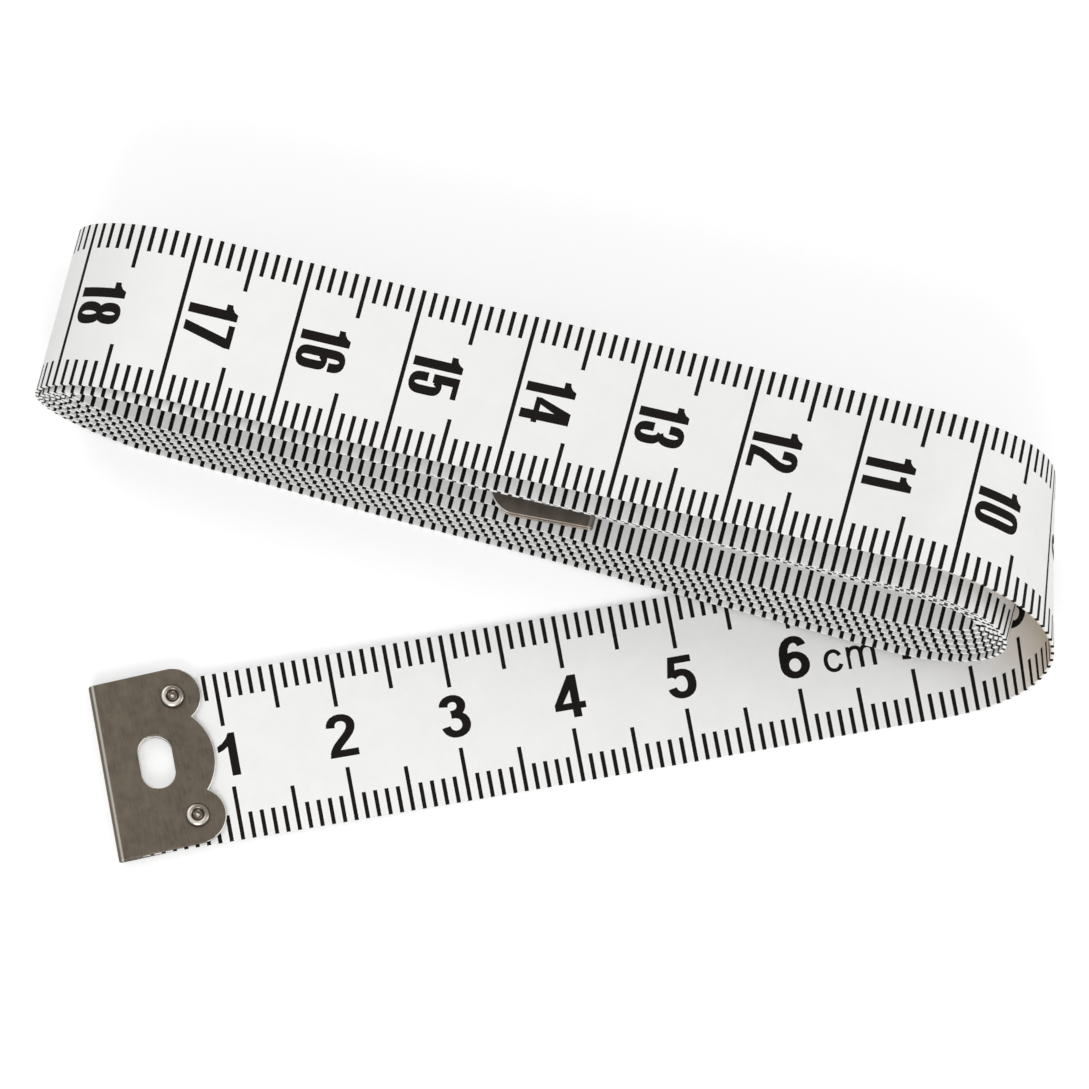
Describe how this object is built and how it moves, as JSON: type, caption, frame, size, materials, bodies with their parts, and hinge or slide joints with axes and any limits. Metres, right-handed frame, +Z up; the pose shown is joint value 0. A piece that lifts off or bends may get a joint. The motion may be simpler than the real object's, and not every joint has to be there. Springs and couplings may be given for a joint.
{
  "type": "cloth tape measure",
  "caption": "Soft printed measuring strip wound into a flat hank, its free end turned back below it, with a folded, slotted and riveted metal tab on each end.",
  "frame": {"origin": "middle of the footprint, on the table that the tape lies on", "axes": "+X along the hank towards the outer bend, +Y towards the hank's back edge, +Z up"},
  "size_m": [0.0914, 0.0534, 0.0199],
  "materials": {
    "tape": "coated, satin",
    "tab": "brushed",
    "rivet": "burnished"
  },
  "bodies": {
    "free_leg": {"tape_free_leg": "tape"},
    "hank": {"tape_coil": "tape", "end_tab": "tab", "end_tab_rivet_front": "rivet", "end_tab_rivet_back": "rivet"},
    "tab_end": {"tape_tab_leg": "tape", "start_tab": "tab", "start_tab_rivet_front": "rivet", "start_tab_rivet_back": "rivet"}
  },
  "joints": [
    {"name": "hank_opens", "type": "hinge", "parent": "free_leg", "child": "hank", "pos_m": [0.04356, 0.01715, 0.00903], "axis": [-0.2091, 0.9696, -0.1267], "range_deg": [0, 60]},
    {"name": "free_end_lifts", "type": "hinge", "parent": "free_leg", "child": "tab_end", "pos_m": [0.00528, -0.0029, 0.00015], "axis": [-0.4131, 0.9107, 0], "range_deg": [0, 70]}
  ]
}
